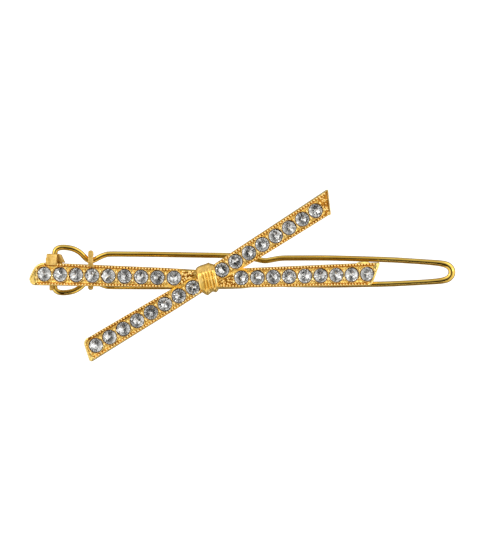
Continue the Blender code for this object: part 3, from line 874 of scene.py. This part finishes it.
def rolled_hinge():
    """A plate with two rolled knuckles for the wire's ends, and a wing hooked over the ribbon's edge."""
    turn = math.asin(PIVOT_X / UNDERSIDE_RADIUS)
    under = Matrix.Translation(on_arch(turn * ARCH_RADIUS, PIN_AXIS_Y, 0.0)) @ Matrix.Rotation(turn, 4, "Y")
    pivot = under.inverted() @ Vector((PIVOT_X, PIN_AXIS_Y, PIVOT_Z))
    drop = pivot.z / MM
    pieces = [
        rounded_block((-1.40, -2.80, -0.46), (1.70, 2.20, -0.06), 0.10, "hinge_plate"),
        rounded_block((-0.67, -3.70, -0.43), (0.05, -2.40, -0.09), 0.10, "hinge_lower_wing"),
    ]
    for side in (-1, 1):
        ends = sorted((side * 0.90, side * 2.75))
        roll = [(-1.15, -0.27), (-0.75, -0.28), (-0.40, -0.33)] + arc(0.0, drop, 0.81, 102, -195, 26)
        pieces.append(folded_sheet(roll, ends, 0.36, "hinge_knuckle"))
    # The hook is folded in the plane across the ribbon, so it is made along X and turned to lie along Y.
    fold = [(0.5, -0.26), (1.6, -0.26)] + arc(2.50, 0.04, 0.30, -90, 0, 4) + [(2.80, 0.7)]
    fold += arc(2.45, 1.30, 0.35, 0, 90, 5) + [(2.0, 1.66), (1.6, 1.67), (1.2, 1.66), (0.86, 1.64)]
    hook = folded_sheet(fold, (-1.25, 0.70), 0.27, "hinge_hook")
    for vert in hook.data.vertices:
        if vert.co.z > 1.4 * MM:
            vert.co.z += random.uniform(-0.10, 0.02) * MM
    place(hook, turn=math.radians(90))
    # A slanted gusset stiffens the hook on the side of the knot.
    gusset = rounded_block((1.05, 1.30, -0.40), (2.30, 2.90, 0.62), 0.0, "hinge_gusset")
    edit(gusset, verts=lambda co: co.x > 2.0 * MM and co.y > 2.0 * MM)
    bpy.ops.transform.translate(value=(-0.75 * MM, -0.10 * MM, 0))
    leave_edit()
    modify(gusset, "BEVEL", width=0.10 * MM, segments=3)
    hinge = join(pieces + [hook, gusset], "rolled_sheet_hinge")
    hinge.matrix_world = under @ Matrix.Translation((pivot.x, 0, 0))
    settle(hinge)
    finish_finding(hinge, "hinge_bracket")


def oblong_post(low_y, high_y, low_z, high_z):
    """A post with round ends, worn round at its top and foot."""
    radius = CATCH_HALF_WIDTH
    bpy.ops.mesh.primitive_cylinder_add(
        vertices=24, radius=radius * MM, depth=(high_z - low_z) * MM,
        location=(0, (low_y + radius) * MM, (low_z + high_z) / 2.0 * MM))
    post = active("catch_post")
    settle(post)
    edit(post, verts=lambda co: co.y > (low_y + radius) * MM + 0.01 * MM)
    bpy.ops.transform.translate(value=(0, (high_y - low_y - 2.0 * radius) * MM, 0))
    leave_edit()
    modify(post, "BEVEL", width=0.16 * MM, segments=3, angle_limit=math.radians(60))
    return post


def arch_height(x, radius):
    """How high a cylinder of this radius about the arch's own axis stands at x."""
    return UNDERSIDE - UNDERSIDE_RADIUS + math.sqrt(radius**2 - x**2)


def pressed_catch():
    """The bar under the ribbon whose posts hold the wire's kinks, with a strap over the ribbon's edge."""
    x = PIVOT_X + CATCH_FROM_PIVOT * MM
    outer_x, inner_x = abs(x) + CATCH_HALF_WIDTH * MM, abs(x) - CATCH_HALF_WIDTH * MM
    top = (arch_height(outer_x, UNDERSIDE_RADIUS) - SOLDER_GAP) / MM
    strap = (arch_height(inner_x, UNDERSIDE_RADIUS + RIBBON_THICKNESS) + SOLDER_GAP) / MM
    foot = pin_place(CATCH_FROM_PIVOT, 0.0, 1).z / MM - POST_BELOW_WIRE
    pieces = [
        rounded_block((-0.45, -3.10, top - 0.80), (0.45, 3.10, top - 0.03), 0.12, "catch_beam"),
        rounded_block((-0.46, 0.60, strap), (0.46, 3.20, strap + 0.30), 0.13, "catch_strap"),
        oblong_post(2.29, 3.58, foot, strap + 0.36),
        oblong_post(-3.58, -2.29, foot, top),
    ]
    catch = join(pieces, "pressed_catch")
    place(catch, (x, PIN_AXIS_Y, 0))
    finish_finding(catch, "catch_bar")


rolled_hinge()
pressed_catch()


# ---------------------------------------------------------------- floor, light and camera
# The floor lies so far below the clip that the pin swings fully open above it.
FLOOR_DROP = 70.0 * MM
FLOOR_GLOW = 0.90


def white_floor():
    """A backlit white sweep: bright to look at, but not so bright that it burns out the metal's edges."""
    material, tree, shader = new_material("white_floor_sweep")
    coords = add_node(tree, "ShaderNodeTexCoord").outputs["Object"]
    tone = add_node(tree, "ShaderNodeTexNoise", {"Vector": coords, "Scale": 20.0})
    colour = ramp(tree, tone.outputs["Fac"], [(0.3, srgb("9C9A96")), (0.7, srgb("A6A4A0"))])
    tree.links.new(colour, shader.inputs["Base Color"])
    shader.inputs["Roughness"].default_value = 0.9
    shader.inputs["Emission Color"].default_value = (1, 1, 1, 1)
    seen = add_node(tree, "ShaderNodeLightPath").outputs["Is Camera Ray"]
    glow = add_node(tree, "ShaderNodeMath", {0: seen, 1: FLOOR_GLOW}, operation="MULTIPLY")
    tree.links.new(glow.outputs["Value"], shader.inputs["Emission Strength"])
    bpy.ops.mesh.primitive_plane_add(size=6.0, location=(0, 0, cad_low.z - FLOOR_DROP))
    floor = active("floor")
    settle(floor)
    floor.data.materials.append(material)


def softbox(name, location, target, width, height, power):
    light = bpy.data.lights.new(name, "AREA")
    light.shape = "RECTANGLE"
    light.size, light.size_y, light.energy = width, height, power
    lamp = bpy.data.objects.new(name, light)
    bpy.context.scene.collection.objects.link(lamp)
    lamp.location = location
    lamp.rotation_euler = (Vector(target) - Vector(location)).to_track_quat("-Z", "Y").to_euler()


# How bright the studio is from its front (0) over the top (0.5) to its back (1), and out to both sides.
SWEEP_STOPS = [
    (0.0, srgb("6E4A1A")), (0.08, srgb("4A3212")), (0.26, srgb("1C1208")), (0.48, srgb("181008")),
    (0.56, 0.14), (0.70, 0.36), (0.82, 0.78), (1.0, 0.85),
]
BANK_STOPS = [(0.12, 0.0), (0.42, 0.95), (0.75, 1.0), (0.90, 1.8)]


def studio_light():
    """A bright sweep behind the clip, bright banks at both ends, and dark overhead and in front."""
    world = bpy.data.worlds.new("studio")
    world.use_nodes = True
    tree = world.node_tree
    direction = add_node(tree, "ShaderNodeTexCoord").outputs["Generated"]
    axes = add_node(tree, "ShaderNodeSeparateXYZ", {"Vector": direction})
    behind = add_node(tree, "ShaderNodeMapRange", {
        "Value": axes.outputs["Y"], "From Min": -1.0, "From Max": 1.0})
    sweep = ramp(tree, behind.outputs["Result"], SWEEP_STOPS)
    aside = add_node(tree, "ShaderNodeMath", {0: axes.outputs["X"]}, operation="ABSOLUTE")
    banks = ramp(tree, aside.outputs["Value"], BANK_STOPS)
    sky = add_node(tree, "ShaderNodeMixRGB", {
        "Fac": 1.0, "Color1": sweep, "Color2": banks}, blend_type="ADD")
    seen = add_node(tree, "ShaderNodeLightPath").outputs["Is Camera Ray"]
    shown = add_node(tree, "ShaderNodeMixRGB", {
        "Fac": seen, "Color1": sky.outputs["Color"], "Color2": srgb("F6F6F6")})
    tree.links.new(shown.outputs["Color"], tree.nodes["Background"].inputs["Color"])
    bpy.context.scene.world = world


white_floor()
studio_light()
softbox("window_left", (-0.45, 0.25, 0.40), (0, 0, 0), 0.10, 0.20, 0.30)
softbox("window_right", (0.40, 0.10, 0.50), (0, 0, 0), 0.12, 0.12, 0.20)
softbox("window_front", (0.10, -0.40, 0.45), (0, 0, 0), 0.25, 0.06, 0.12)

# Looking straight down on the ornament from far away, as in a flat product picture.
VIEW_DISTANCE = 3.0
VIEW_HEIGHT = 99.0 * MM
VIEW_CENTRE = (6.30 * MM, 0.755 * MM)
VIEW_TURN = math.radians(0.32)
lens = bpy.data.cameras.new("camera")
lens.lens = lens.sensor_width * VIEW_DISTANCE / VIEW_HEIGHT
lens.clip_start, lens.clip_end = 0.01, 20.0
camera = bpy.data.objects.new("camera", lens)
bpy.context.scene.collection.objects.link(camera)
camera.location = (*VIEW_CENTRE, VIEW_DISTANCE)
camera.rotation_euler = (0, 0, VIEW_TURN)
bpy.context.scene.camera = camera
bpy.context.scene.view_settings.view_transform = "Standard"
